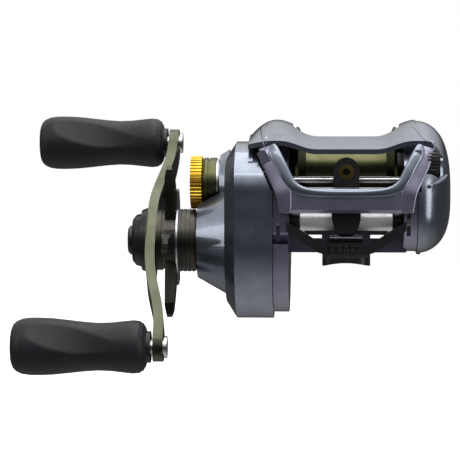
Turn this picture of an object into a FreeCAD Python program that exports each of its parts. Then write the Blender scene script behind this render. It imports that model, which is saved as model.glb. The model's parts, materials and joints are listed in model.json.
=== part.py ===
"""A low-profile baitcasting reel as separate pieces, in millimetres.

X runs along the spool, with the handle at -X. -Y is the front, towards the rod's tip, and +Z is up.
The origin is the middle of the foot's saddle, where the reel sits on the rod. Heights in the drawing
functions count from a datum 3 mm below it, and each piece is lowered by that much when it is placed.
"""
import math
import os

import FreeCAD
import Part
import Sketcher

Vector = FreeCAD.Vector
X_AXIS = Vector(1, 0, 0)
Y_AXIS = Vector(0, 1, 0)
Z_AXIS = Vector(0, 0, 1)

# Driving dimensions. Every alias becomes a cell of the sheet.
SIZES = {
    # height of the saddle's middle in the drawing below; every piece is lowered by it at the end
    "saddle_datum": 3.0,
    # axes of the three shafts
    "spool_back": 5.0,
    "spool_up": 25.6,
    "drive_back": 1.0,
    "drive_up": 7.6,
    "worm_back": -17.0,
    "worm_up": 14.7,
    # spool
    "flange_radius": 17.5,
    "flange_out": 15.6,
    "arbor_radius": 12.6,
    "arbor_out": 12.4,
    "spool_wall": 1.1,
    "spool_shaft_radius": 1.6,
    "shaft_tip_radius": 0.9,
    # frame
    "gear_wall_out": 22.2,
    "gear_wall_in": 17.5,
    "palm_wall_in": 17.4,
    "palm_wall_out": 21.4,
    "bar_low": 17.6,
    "bar_high": 24.4,
    "bar_front": 26.5,
    "bar_back": 24.3,
    "floor_low": 10.3,
    "floor_high": 11.3,
    # side plates
    "gear_plate_out": 37.0,
    "gear_plate_in": 22.35,
    "gear_plate_bevel": 3.2,
    "gear_plate_wall": 1.4,
    "cone_base_radius": 17.0,
    "cone_tip_radius": 11.7,
    "cone_tip_out": 46.2,
    "palm_cover_out": 32.2,
    "palm_cover_in": 21.6,
    "seam_gap": 0.15,
    # hood
    "hood_thickness": 1.5,
    "hood_dip": 41.3,
    "hood_hump": 45.4,
    "hump_out": 21.5,
    "brow_front": 22.0,
    # foot
    "foot_half_length": 31.5,
    "foot_half_width": 7.3,
    "saddle_radius": 24.0,
    # gears
    "gear_teeth": 102,
    "pinion_teeth": 12,
    "idler_teeth": 40,
    "worm_gear_teeth": 16,
    "running_clearance": 0.06,
    # drive shaft and handle
    "drive_shaft_radius": 3.2,
    "skirt_radius": 9.8,
    "star_radius": 24.8,
    "star_start": -56.3,
    "star_thickness": 3.5,
    "arm_reach": 45.0,
    "arm_outer": -62.0,
    "arm_thickness": 3.0,
    "arm_sweep": 4.4,
    "handle_angle": 48.5,
    # knobs
    "knob_start": -100.0,
    "knob_length": 40.4,
    "knob_outer_radius": 8.7,
    "knob_waist_radius": 7.2,
    "knob_inner_radius": 8.1,
    "knob_shaft_radius": 2.2,
    # cast control
    "cast_ring_radius": 8.3,
    "cast_collar_radius": 7.8,
    "cast_boss_radius": 6.4,
    # level wind
    "worm_tube_radius": 3.2,
    "worm_radius": 2.1,
    "guide_ring_radius": 2.3,
    "guide_hole_radius": 1.15,
    "guide_ring_up": 29.8,
}

doc = FreeCAD.newDocument("BaitcastingReel")
sheet = doc.addObject("Spreadsheet::Sheet", "Sizes")
for row, (alias, value) in enumerate(SIZES.items(), start=1):
    sheet.set(f"A{row}", alias)
    sheet.set(f"B{row}", str(value))
    sheet.setAlias(f"B{row}", alias)
doc.recompute()

pieces = []
AXES = {
    "spool": ("Sizes.spool_back", "Sizes.spool_up - Sizes.saddle_datum"),
    "drive": ("Sizes.drive_back", "Sizes.drive_up - Sizes.saddle_datum"),
}


# ---------------------------------------------------------------- helpers

def size(expression):
    """The number that an expression of sheet cells gives."""
    value = sheet.evalExpression(str(expression))
    return float(getattr(value, "Value", value))


def keep(piece, label):
    """Name a sub-part and list it for export."""
    piece.Label = label
    pieces.append(piece)
    return piece


def origin_plane(body, role):
    """A body's own origin plane, such as XY_Plane."""
    return next(item for item in body.Origin.OriginFeatures if item.Role == role)


def profile_sketch(body, name, plane, corners):
    """A closed outline of straight edges whose corners are bound to the sheet."""
    sketch = body.newObject("Sketcher::SketchObject", name)
    sketch.AttachmentSupport = [(origin_plane(body, plane), "")]
    sketch.MapMode = "FlatFace"
    points = [Vector(size(across), size(up), 0) for across, up in corners]
    count = len(points)
    for index in range(count):
        sketch.addGeometry(Part.LineSegment(points[index], points[(index + 1) % count]), False)
    for index in range(count):
        sketch.addConstraint(Sketcher.Constraint("Coincident", index, 2, (index + 1) % count, 1))
    for index, (across, up) in enumerate(corners):
        for kind, expression in (("DistanceX", across), ("DistanceY", up)):
            constraint = Sketcher.Constraint(kind, -1, 1, index, 1, size(expression))
            number = sketch.addConstraint(constraint)
            sketch.setExpression(f"Constraints[{number}]", str(expression))
    return sketch


def turned(label, axis, corners):
    """A turned piece: an outline of (along X, radius) corners revolved about one shaft axis."""
    body = doc.addObject("PartDesign::Body", label)
    sketch = profile_sketch(body, label + "_profile", "XZ_Plane", corners)
    revolution = body.newObject("PartDesign::Revolution", label + "_turn")
    revolution.Profile = sketch
    revolution.ReferenceAxis = (sketch, ["H_Axis"])
    revolution.Angle = 360
    back, up = AXES[axis]
    body.setExpression("Placement.Base.y", back)
    body.setExpression("Placement.Base.z", up)
    return keep(body, label)


def ring(label, axis, start, end, inner, outer):
    """A plain ring or, with an inner radius of 0, a disc."""
    corners = [(start, inner), (start, outer), (end, outer), (end, inner)]
    return turned(label, axis, corners)


def shaped(label, shape):
    """A sub-part whose form comes from Part's own functions."""
    feature = doc.addObject("Part::Feature", label)
    feature.Shape = shape
    lowered = FreeCAD.Placement(Vector(0, 0, -size("saddle_datum")), FreeCAD.Rotation())
    feature.Placement = lowered.multiply(shape.Placement)
    return keep(feature, label)


def rod(start, end, radius, back, up):
    """A cylinder along X between two X positions."""
    return Part.makeCylinder(radius, end - start, Vector(start, back, up), X_AXIS)


def block(low, high):
    """A box between two corners."""
    spans = [high[axis] - low[axis] for axis in range(3)]
    return Part.makeBox(spans[0], spans[1], spans[2], Vector(*low))


def prism(points, along):
    """A straight-edged outline swept along a vector."""
    corners = [Vector(*point) for point in points]
    return Part.Face(Part.makePolygon(corners + corners[:1])).extrude(along)


def smooth_loop(points):
    """A smooth closed wire through the points."""
    curve = Part.BSplineCurve()
    curve.interpolate([Vector(*point) for point in points], PeriodicFlag=True)
    return Part.Wire([curve.toShape()])


def gear_outline(teeth, module, tooth_share, start, width, back, up, turn, stub=0.85):
    """A spur gear about an X axis; tooth_share is the tooth's part of the pitch at the pitch circle."""
    pitch_radius = module * teeth / 2
    tip = pitch_radius + stub * module
    root = pitch_radius - 1.15 * module
    pitch = 2 * math.pi / teeth
    corners = []
    for tooth in range(teeth):
        middle = turn + tooth * pitch
        for radius, share in ((root, -0.66), (pitch_radius, -0.5), (tip, -0.22),
                              (tip, 0.22), (pitch_radius, 0.5), (root, 0.66)):
            angle = middle + share * pitch * tooth_share
            corners.append(Vector(start, back + radius * math.cos(angle), up + radius * math.sin(angle)))
    return Part.Face(Part.makePolygon(corners + corners[:1])).extrude(Vector(width, 0, 0))


# ---------------------------------------------------------------- places used more than once

SPOOL_Y, SPOOL_Z = size("spool_back"), size("spool_up")
DRIVE_Y, DRIVE_Z = size("drive_back"), size("drive_up")
WORM_Y, WORM_Z = size("worm_back"), size("worm_up")
SHAFT_SPACING = math.hypot(SPOOL_Y - DRIVE_Y, SPOOL_Z - DRIVE_Z)
WORM_SPACING = math.hypot(WORM_Y - DRIVE_Y, WORM_Z - DRIVE_Z)
GAP = size("seam_gap")

# Side outlines, as (along Y, up) points from the front nose over the top and round.
GEAR_SIDE = ((-25.0, 21.0), (-22.5, 32.0), (-12.0, 37.6), (5.0, 38.4), (21.0, 35.5), (30.5, 25.5),
             (30.0, 11.0), (19.5, -9.0), (1.0, -16.6), (-17.0, -9.0), (-24.5, 6.0))
PALM_SIDE = ((-25.5, 21.0), (-23.0, 31.5), (-13.0, 40.5), (2.0, 45.0), (17.0, 42.0), (28.0, 34.0),
             (32.0, 22.0), (28.0, 10.0), (16.0, 4.9), (-2.0, 4.2), (-16.0, 6.2), (-23.5, 12.0))
CENTRE_Y, CENTRE_Z = 2.0, 23.0


def side_loop(outline, x, scale=1.0, centre=(CENTRE_Y, CENTRE_Z)):
    """A side outline at one X, scaled towards its centre."""
    points = [(x, centre[0] + (back - centre[0]) * scale, centre[1] + (up - centre[1]) * scale)
              for back, up in outline]
    return smooth_loop(points)


def side_slab(outline, start, end, scale=1.0, centre=(CENTRE_Y, CENTRE_Z)):
    """A flat slab with a side outline."""
    face = Part.Face(side_loop(outline, start, scale, centre))
    return face.extrude(Vector(end - start, 0, 0))


# ---------------------------------------------------------------- hood surface

def crown(x):
    """Height of the hood's ridge line at one X: a dip over the spool between two humps."""
    hump = size("hump_out")
    away = abs(x)
    if away <= hump:
        rise = min(max((away - 8.5) / (hump - 8.5), 0.0), 1.0)
        blend = rise * rise * (3 - 2 * rise)
        return size("hood_dip") + (size("hood_hump") - size("hood_dip")) * blend
    return size("hood_hump") - 0.075 * (away - hump) ** 2


def hood_height(x, y):
    """Height of the hood's skin: low at the brow, highest over the spool, lower to the rear."""
    front = -size("brow_front") - 3.5
    rise = min(max((abs(x) - 9.5) / 10.0, 0.0), 1.0)
    brow_height = 35.3 + 2.1 * rise * rise * (3 - 2 * rise)
    if y < 2.0:
        share = (y - front) / (2.0 - front)
        lift = math.sin(share * math.pi / 2) ** 0.9
        return brow_height + (crown(x) - brow_height) * lift
    share = (y - 2.0) / 29.0
    return crown(x) - (crown(x) - 33.0) * share ** 2


def hood_skin(thickness):
    """The whole skin over the reel, from side to side, as a thick sheet."""
    columns = [x * 2.0 for x in range(-16, 17)]
    rows = [-size("brow_front") - 3.0 + 2.1 * step for step in range(26)]
    def sheet_at(drop):
        surface = Part.BSplineSurface()
        surface.interpolate([[Vector(x, y, hood_height(x, y) - drop) for y in rows] for x in columns])
        return surface.toShape()
    outer = sheet_at(0.0)
    inner = sheet_at(thickness)
    sides = []
    for upper, lower in zip(outer.Edges, inner.Edges):
        sides.append(Part.makeRuledSurface(upper, lower))
    shell = Part.Shell([outer, inner] + sides)
    shell.sewShape()
    solid = Part.makeSolid(shell)
    if solid.Volume < 0:
        solid.reverse()
    return solid


def seam_wedge(side, outward):
    """Space beyond the slanted seam between the hood and one side's cap."""
    if side > 0:
        edge = [(29.0, -40, 32.0), (26.2, -40, 38.2), (21.4, -40, 44.5), (21.4, -40, 60.0)]
    else:
        edge = [(-24.2, -40, 32.0), (-25.0, -40, 38.2), (-26.8, -40, 44.0), (-27.4, -40, 60.0)]
    far = side * (60.0 if outward else 0.0)
    corners = edge + [(far, -40, 60.0), (far, -40, 32.0)]
    return prism(corners, Vector(0, 90, 0))


def make_hood():
    """The front cover: a brow over the line guide, with two rails beside the open spool."""
    shift = GAP
    hood = hood_skin(size("hood_thickness"))
    hood = hood.cut(seam_wedge(1, True).translated(Vector(-shift, 0, 0)))
    hood = hood.cut(seam_wedge(-1, True).translated(Vector(shift, 0, 0)))
    window = block((-16.6, -8.5, 20), (16.6, 60, 60))
    corners = [edge for edge in window.Edges if is_upright(edge) and edge.BoundBox.YMax < 0]
    window = window.makeFillet(5.0, corners)
    hood = hood.cut(window)
    hood = hood.cut(block((-40, 21.0, 0), (40, 60, 60)))
    return hood.cut(block((-40, -60, 0), (40, -size("brow_front"), 60)))


def is_upright(edge):
    """True for a straight edge along Z."""
    box = edge.BoundBox
    return box.XLength < 0.001 and box.YLength < 0.001


def make_cap(side):
    """The piece of skin outside a seam, which belongs to a side plate."""
    cap = hood_skin(size("hood_thickness"))
    cap = cap.common(seam_wedge(side, True).translated(Vector(side * GAP / 2, 0, 0)))
    return cap.cut(block((-60, -60, 0), (60, -size("brow_front"), 60)))


# ---------------------------------------------------------------- shells

def make_palm_cover():
    """The palm-side plate: a domed shell with a window for the brake dial and a latch notch."""
    start, out = size("palm_cover_in"), size("palm_cover_out")
    depth = out - start
    def dome(shrink):
        loops = []
        for angle in (0, 18, 36, 54, 68, 80):
            turn = math.radians(angle)
            scale = math.cos(turn) ** 0.62
            loops.append(side_loop(PALM_SIDE, start + (depth - shrink) * math.sin(turn),
                                   scale * (1 - shrink / 21.0)))
        return Part.makeLoft(loops, True, False)
    shell = dome(0.0).cut(dome(1.5).translated(Vector(-0.01, 0, 0)))
    web = side_slab(PALM_SIDE, start, start + 1.2, 0.95)
    shell = shell.fuse(web).removeSplitter()
    shell = shell.cut(seam_wedge(1, False).common(block((0, -60, 33), (60, 60, 60))))
    window = block((23.6, -60, 29.3), (29.3, -18.0, 36.4))
    shell = shell.cut(window)
    shell = shell.cut(rod(20, 23.2, 12.2, SPOOL_Y, SPOOL_Z))
    shell = shell.cut(rod(23.7, 29.2, DIAL_RADIUS + 0.6, DIAL_Y, DIAL_Z))
    dial_post = rod(22.5, 29.0, 1.1, DIAL_Y, DIAL_Z)
    shell = shell.fuse(dial_post)
    shell = shell.cut(block((20, -6.2, 0), (23.1, 2.2, 6.2)))
    shell = shell.cut(block((20, -60, 24.0), (22.5, -12.5, 38.5)))
    return shell


def make_gear_cover():
    """The gear-side plate: a bevelled dish with the drive cone and the cast-control boss."""
    out, start = -size("gear_plate_out"), -size("gear_plate_in")
    bevel, wall = size("gear_plate_bevel"), size("gear_plate_wall")
    shoulder = out + bevel
    body = side_slab(GEAR_SIDE, shoulder, start)
    wires = [side_loop(GEAR_SIDE, shoulder, 1.0, (DRIVE_Y, 11.0)),
             side_loop(GEAR_SIDE, out, 0.82, (DRIVE_Y, 11.0))]
    bevelled = Part.makeLoft(wires, True, True)
    cone = Part.makeCone(size("cone_base_radius"), size("cone_tip_radius"),
                         size("cone_tip_out") + out + 0.2, Vector(out + 0.2, DRIVE_Y, DRIVE_Z), -X_AXIS)
    boss = Part.makeCone(10.4, 8.6, 3.0, Vector(out + 0.6, SPOOL_Y, SPOOL_Z), -X_AXIS)
    neck = rod(-45.8, out, size("cast_boss_radius"), SPOOL_Y, SPOOL_Z)
    cone = cone.cut(rod(-60, -39.4, size("cast_ring_radius") + 0.6, SPOOL_Y, SPOOL_Z))
    body = body.fuse([bevelled, cone, boss, neck])
    room = Part.makeLoft([side_loop(GEAR_SIDE, start + 1.0, 0.945, (DRIVE_Y, 11.0)),
                          side_loop(GEAR_SIDE, shoulder - 0.5, 0.945, (DRIVE_Y, 11.0)),
                          side_loop(GEAR_SIDE, out + wall, 0.84, (DRIVE_Y, 11.0))], True, True)
    body = body.cut(room)
    body = body.cut(rod(-60, -30, 7.6, DRIVE_Y, DRIVE_Z))
    horn_room = prism([(-22.5, -60, 24.2), (-27.9, -60, 35.4), (-25.2, -60, 38.0), (-16, -60, 38.0),
                       (-16, -60, 24.2)],
                      Vector(0, 48.5, 0))
    body = body.cut(horn_room)
    body = body.cut(rod(-31, -20, WORM_GEAR_ROOM, WORM_Y, WORM_Z))
    lip = rod(-46.2, -45.4, 9.0, DRIVE_Y, DRIVE_Z).cut(rod(-46.2, -45.4, 4.9, DRIVE_Y, DRIVE_Z))
    inner_lip = rod(-38.4, -37.6, 8.0, DRIVE_Y, DRIVE_Z).cut(rod(-38.4, -37.6, 4.9, DRIVE_Y, DRIVE_Z))
    body = body.fuse([lip, inner_lip])
    body = body.cut(rod(-60, -39.2, 1.3, SPOOL_Y, SPOOL_Z))
    body = body.cut(rod(-39.3, -30, 3.02, SPOOL_Y, SPOOL_Z))
    cap = make_cap(-1).common(block((-29.7, -60, 33.0), (-20, 60, 60)))
    side_wall = prism([(-29.7, -60, 33.0), (-28.3, -60, 33.0), (-28.3, -60, 60), (-29.7, -60, 60)],
                      Vector(0, 120, 0))
    under = side_slab(PALM_SIDE, -29.7, -28.3).common(side_wall)
    under = under.common(below_hood(-29.7, -28.3))
    return body.fuse([cap, under]).removeSplitter()


def below_hood(low_x, high_x):
    """The space under the hood's outer skin between two X positions."""
    rows = [-size("brow_front") + 1.5 * step for step in range(30)]
    middle = (low_x + high_x) / 2
    top = [(low_x, y, hood_height(middle, y) - 0.4) for y in rows]
    corners = [(low_x, rows[0], 20)] + top + [(low_x, rows[-1], 20)]
    return prism(corners, Vector(high_x - low_x, 0, 0))


DIAL_Y, DIAL_Z, DIAL_RADIUS = -19.2, 32.9, 4.6
GUIDE_BOTTOM = 11.0
WORM_GEAR_ROOM = 6.4
GEAR_SCREWS = ((-16.5, 29.5), (23.5, 24.5), (16.0, -6.0))


# ---------------------------------------------------------------- frame

def make_frame(foot):
    """One casting: two side walls, the front bar, the floor with its drain slots and the rear bar."""
    wall_out, wall_in = -size("gear_wall_out"), -size("gear_wall_in")
    palm_in, palm_out = size("palm_wall_in"), size("palm_wall_out")
    gear_wall = side_slab(GEAR_SIDE, wall_out, wall_in, 0.93, (CENTRE_Y, 11.0))
    trim = side_slab(PALM_SIDE, -30, 30, 0.985)
    keel = block((-30, -60, -20), (-17, 60, 8))
    gear_wall = gear_wall.common(trim.fuse(keel))
    palm_wall = side_slab(PALM_SIDE, palm_in, palm_out, 0.97)
    roof = below_hood(-30, 30).translated(Vector(0, 0, -2.0))
    gear_wall = gear_wall.common(roof.fuse(block((-30, -60, -20), (30, 60, 30))))
    palm_wall = palm_wall.common(roof.fuse(block((-30, -60, -20), (30, 60, 30))))
    front, back = -size("bar_front"), -size("bar_back")
    low, high = size("bar_low"), size("bar_high")
    bar = prism([(wall_in - 1, back, low), (wall_in - 1, front + 0.9, low),
                 (wall_in - 1, front, low + 1.0),
                 (wall_in - 1, front, high - 0.3), (wall_in - 1, front + 0.5, high + 0.5),
                 (wall_in - 1, back, high + 0.9)], Vector(palm_in - wall_in + 2, 0, 0))
    floor_low, floor_high = size("floor_low"), size("floor_high")
    floor = block((wall_in - 1, FLOOR_FRONT, floor_low), (palm_in + 1, -5, floor_high))
    apron = block((wall_in - 1, FLOOR_FRONT, 4.9), (palm_in + 1, FLOOR_FRONT + 1.2, floor_high))
    for low_x, high_x in ((-11.5, -7.4), (-5.0, 5.0), (7.4, 11.5)):
        apron = apron.cut(block((low_x, -30, floor_low - 1.1), (high_x, 0, floor_low)))
    rear = block((wall_in - 1, 21.5, 9.6), (palm_in + 1, 27.0, 17.5))
    rear = rear.makeFillet(2.2, [edge for edge in rear.Edges if edge.BoundBox.XLength > 1])
    spine = block((-7.2, FLOOR_FRONT + 0.6, 6.6), (7.2, 27, 8.0))
    ribs = [block((low_x, 21.5, 6.6), (low_x + 1.8, 27, 12)) for low_x in (-7.2, 5.4)]
    horns = [prism([(-27.0, -24, 35.4), (-25.0, -24, 37.2), (-20.6, -24, 30.0), (-18.2, -24, 25.5),
                    (-16.8, -24, 22.5), (-17.2, -24, 17.5), (-19.5, -24, 17.5), (-21.8, -24, 23.5)],
                   Vector(0, 10.5, 0)),
             prism([(22.4, -24, 37.2), (20.8, -24, 37.2), (18.9, -24, 30.5), (18.0, -24, 26.0),
                    (16.8, -24, 22.8), (17.2, -24, 17.5), (20.4, -24, 17.5), (21.4, -24, 23.5),
                    (22.4, -24, 28.0)], Vector(0, 10.5, 0))]
    frame = gear_wall.fuse([palm_wall, bar, floor, apron, rear, spine] + ribs + horns)
    recess = rod(wall_in - 0.9, 0, size("flange_radius") + 0.8, SPOOL_Y, SPOOL_Z)
    passage = rod(palm_in - 1, palm_out + 1, size("flange_radius") + 0.5, SPOOL_Y, SPOOL_Z)
    well = rod(wall_in - 0.1, palm_in + 0.1, size("flange_radius") + 1.2, SPOOL_Y, SPOOL_Z)
    frame = frame.cut(recess).cut(passage).cut(well)
    frame = frame.cut(rod(wall_out - 1, wall_in + 1, 3.2, SPOOL_Y, SPOOL_Z))
    frame = frame.cut(rod(wall_out - 1, wall_in - 1.2, 5.03, SPOOL_Y, SPOOL_Z))
    frame = frame.cut(rod(wall_out - 1, wall_in - 1.7, 5.03, DRIVE_Y, DRIVE_Z))
    frame = frame.cut(rod(wall_out - 1, wall_in + 1, size("worm_tube_radius") + 0.05, WORM_Y, WORM_Z))
    frame = frame.cut(rod(palm_in - 1, palm_out - 1.2, size("worm_tube_radius") + 0.05, WORM_Y, WORM_Z))
    frame = frame.cut(rod(-20.6, 20.6, 1.04, RAIL_Y, RAIL_Z))
    frame = frame.cut(block((-17.6, 15.0, 25.2), (17.6, 40, 60)))
    frame = frame.cut(block((18.2, -30, 10.5), (19.4, -20, 19.5)))
    frame = frame.cut(block((-21.2, -30, 8.5), (-20.0, -20, 14.5)))
    for back_y, up in GEAR_SCREWS:
        frame = frame.cut(rod(-30, wall_out + 3, 0.84, back_y, up))
    for across in FOOT_SCREW_X:
        frame = frame.cut(Part.makeCylinder(0.98, 5, Vector(across, FOOT_SCREW_Y, 6.0), Z_AXIS))
    frame = frame.cut(Part.makeCylinder(0.98, 4.5, Vector(0, FOOT_REAR_SCREW_Y, 6.0), Z_AXIS))
    frame = frame.cut(hood_skin(1.7)).cut(foot)
    # The hood can cut a crumb loose from a wall's top edge: the casting is the one large solid.
    return max(frame.removeSplitter().Solids, key=lambda solid: solid.Volume)


RAIL_Y, RAIL_Z = -16.4, 27.3
STRUT_FRONT = -24.4
FOOT_SCREW_X = (-4.6, 4.6)
FOOT_SCREW_Y = 1.0
FLOOR_FRONT = -12.8
FOOT_REAR_SCREW_Y = 15.0


def make_foot():
    """The foot: a curved saddle plate with ramps, a stem up to the floor and two forward struts."""
    half_length, half_width = size("foot_half_length"), size("foot_half_width")
    side = prism([(-half_width, -half_length, 0), (-half_width, -half_length, 4.5),
                  (-half_width, -19.0, 5.5), (-half_width, -13.5, 6.6), (-half_width, 20.5, 6.6),
                  (-half_width, 24.0, 5.6), (-half_width, half_length, 4.5), (-half_width, half_length,
                                                                              0)],
                 Vector(2 * half_width, 0, 0))
    plan = smooth_loop([(0, -half_length, -1), (5.6, -half_length + 1.0, -1), (6.9, -19, -1),
                        (7.3, 0, -1),
                        (6.9, 18, -1), (4.6, half_length - 1.5, -1), (0, half_length, -1),
                        (-4.6, half_length - 1.5, -1), (-6.9, 18, -1), (-7.3, 0, -1), (-6.9, -19, -1),
                        (-5.6, -half_length + 1.0, -1)])
    foot = side.common(Part.Face(plan).extrude(Vector(0, 0, 20)))
    saddle_middle = size("saddle_datum") - size("saddle_radius")
    saddle = Part.makeCylinder(size("saddle_radius"), 80, Vector(0, -40, saddle_middle), Y_AXIS)
    foot = foot.cut(saddle)
    nose = block((-5.0, -16.0, 4.0), (5.0, FLOOR_FRONT, 9.0))
    struts = []
    for hand in (-1, 1):
        struts.append(prism([(hand * 5.0, STRUT_FRONT, 4.6), (hand * 8.4, STRUT_FRONT, 5.6),
                             (hand * 18.0, STRUT_FRONT, 12.2), (hand * 18.0, STRUT_FRONT, 14.8),
                             (hand * 15.0, STRUT_FRONT, 13.2), (hand * 7.0, STRUT_FRONT, 7.9),
                             (hand * 5.0, STRUT_FRONT, 8.4)], Vector(0, 2.2, 0)))
    neck = block((-6.6, STRUT_FRONT, 4.0), (6.6, -13.0, 7.2))
    crest = prism([(-5.4, STRUT_FRONT, 7.0), (5.4, STRUT_FRONT, 7.0), (5.0, STRUT_FRONT, 8.4),
                   (-5.0, STRUT_FRONT, 8.4)], Vector(0, 2.2, 0))
    foot = foot.fuse([nose, neck, crest] + struts)
    foot = foot.cut(saddle)
    for across in (-5.2, -3.1, -1.0, 1.1, 3.2):
        foot = foot.cut(block((across - 0.25, -40, 5.5), (across + 0.25, STRUT_FRONT + 0.4, 7.6)))
    for across in FOOT_SCREW_X:
        foot = foot.cut(Part.makeCylinder(1.1, 20, Vector(across, FOOT_SCREW_Y, -5), Z_AXIS))
        foot = foot.cut(Part.makeCylinder(2.1, 4.8, Vector(across, FOOT_SCREW_Y, 0), Z_AXIS))
    foot = foot.cut(Part.makeCylinder(1.1, 20, Vector(0, FOOT_REAR_SCREW_Y, -5), Z_AXIS))
    foot = foot.cut(Part.makeCylinder(2.1, 4.8, Vector(0, FOOT_REAR_SCREW_Y, 0), Z_AXIS))
    return foot.removeSplitter()


shaped("top_cover", make_hood())
shaped("palm_side_cover", make_palm_cover())
shaped("gear_side_plate", make_gear_cover())
foot_shape = make_foot()
shaped("main_frame", make_frame(foot_shape))
shaped("reel_foot", foot_shape)

# ---------------------------------------------------------------- spool and brake

turned("spool", "spool", [
    ("-Sizes.flange_out", "Sizes.spool_shaft_radius"),
    ("-Sizes.flange_out", "4.2"),
    ("-Sizes.flange_out + 1.4", "6.0"),
    ("-Sizes.flange_out + 1.0", "14.5"),
    ("-Sizes.flange_out", "15.6"),
    ("-Sizes.flange_out", "Sizes.flange_radius"),
    ("-Sizes.flange_out + 0.8", "Sizes.flange_radius"),
    ("-Sizes.arbor_out", "Sizes.arbor_radius"),
    ("Sizes.arbor_out", "Sizes.arbor_radius"),
    ("Sizes.flange_out - 0.8", "Sizes.flange_radius"),
    ("Sizes.flange_out", "Sizes.flange_radius"),
    ("Sizes.flange_out", "15.6"),
    ("Sizes.flange_out - 2.6", "Sizes.arbor_radius - Sizes.spool_wall"),
    ("0", "Sizes.arbor_radius - Sizes.spool_wall"),
    ("-2", "6.0"),
    ("-2", "Sizes.spool_shaft_radius"),
])
turned("spool_shaft", "spool", [
    ("-38.6", "0"),
    ("-38.6", "Sizes.shaft_tip_radius"),
    ("-17.0", "Sizes.shaft_tip_radius"),
    ("-17.0", "Sizes.spool_shaft_radius"),
    ("18.6", "Sizes.spool_shaft_radius"),
    ("18.6", "1.25"),
    ("24.6", "1.25"),
    ("24.6", "0"),
])
ring("brake_rotor", "spool", "6.0", "11.0", "10.4", "Sizes.arbor_radius - Sizes.spool_wall")
ring("palm_shaft_bearing", "spool", "21.2", "23.4", "1.25 + Sizes.running_clearance", "3.5")
turned("brake_case", "spool", [
    ("5.0", "2.4"), ("5.0", "9.4"), ("20.2", "9.4"), ("20.2", "12.0"), ("23.1", "12.0"), ("23.1", "3.5"),
    ("21.2", "3.5"), ("21.2", "2.4"),
])
ring("shaft_end_bearing", "spool", "-38.4", "-36.6",
     "Sizes.shaft_tip_radius + Sizes.running_clearance", "3.0")
pin = Part.makeCylinder(0.5, 5.0, Vector(-18.4, SPOOL_Y, SPOOL_Z - 2.5), Z_AXIS)
shaped("spool_pin", pin)


# ---------------------------------------------------------------- gears

SPUR_MODULE = 2 * SHAFT_SPACING / (size("gear_teeth") + size("pinion_teeth"))
LEVEL_MODULE = 2 * WORM_SPACING / (size("idler_teeth") + size("worm_gear_teeth"))


def meshed_pair(label_big, label_small, teeth_big, teeth_small, module, centre_big, centre_small,
                big_span, small_span, big_bore, small_bore, stub):
    """Two spur gears in mesh: a tooth of the big one points into a gap of the small one."""
    towards = math.atan2(centre_small[1] - centre_big[1], centre_small[0] - centre_big[0])
    half_pitch = math.pi / teeth_small
    big = gear_outline(teeth_big, module, 0.44, big_span[0], big_span[1] - big_span[0],
                       centre_big[0], centre_big[1], towards, stub)
    small = gear_outline(teeth_small, module, 0.44, small_span[0], small_span[1] - small_span[0],
                         centre_small[0], centre_small[1], towards + math.pi + half_pitch, stub)
    big = big.cut(rod(big_span[0] - 1, big_span[1] + 1, big_bore, *centre_big))
    small = small.cut(rod(small_span[0] - 1, small_span[1] + 1, small_bore, *centre_small))
    return big, small


gear, pinion = meshed_pair("drive_gear", "pinion_gear", int(size("gear_teeth")),
                           int(size("pinion_teeth")),
                           SPUR_MODULE, (DRIVE_Y, DRIVE_Z), (SPOOL_Y, SPOOL_Z),
                           (-32.5, -29.5), (-34.6, -27.2), 4.2,
                           size("shaft_tip_radius") + size("running_clearance"), 0.7)
for step in range(6):
    turn = math.radians(60 * step + 30)
    gear = gear.cut(rod(-40, -20, 2.3, DRIVE_Y + 10.8 * math.cos(turn), DRIVE_Z + 10.8 * math.sin(turn)))
shaped("drive_gear", gear)

pinion_hub = rod(-27.2, -19.0, 2.6, SPOOL_Y, SPOOL_Z)
pinion_groove = rod(-26.6, -25.4, 4.0, SPOOL_Y, SPOOL_Z).cut(rod(-26.6, -25.4, 1.9, SPOOL_Y, SPOOL_Z))
pinion_hub = pinion_hub.cut(pinion_groove)
pinion_bore = rod(-40, -10, size("shaft_tip_radius") + size("running_clearance"), SPOOL_Y, SPOOL_Z)
pinion_hub = pinion_hub.fuse(rod(-19.0, -17.6, 2.6, SPOOL_Y, SPOOL_Z)).cut(pinion_bore)
pin_slot = block((-19.1, SPOOL_Y - 0.62, SPOOL_Z - 3), (-17.0, SPOOL_Y + 0.62, SPOOL_Z + 3))
shaped("pinion_gear", pinion.fuse(pinion_hub).cut(pin_slot).removeSplitter())

idler, worm_gear = meshed_pair("level_wind_idler", "worm_gear", int(size("idler_teeth")),
                               int(size("worm_gear_teeth")), LEVEL_MODULE, (DRIVE_Y, DRIVE_Z),
                               (WORM_Y, WORM_Z), (-26.4, -24.6), (-26.8, -24.2),
                               size("drive_shaft_radius"), 1.3, 0.75)
for step in range(5):
    turn = math.radians(72 * step)
    idler = idler.cut(rod(-40, -20, 2.0, DRIVE_Y + 7.6 * math.cos(turn), DRIVE_Z + 7.6 * math.sin(turn)))
shaped("level_wind_idler", idler)
shaped("worm_gear", worm_gear)

ring("pinion_bearing", "spool", "-22.1", "-18.8", "2.6 + Sizes.running_clearance", "5.0")


# ---------------------------------------------------------------- drive shaft, drag and handle

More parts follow.
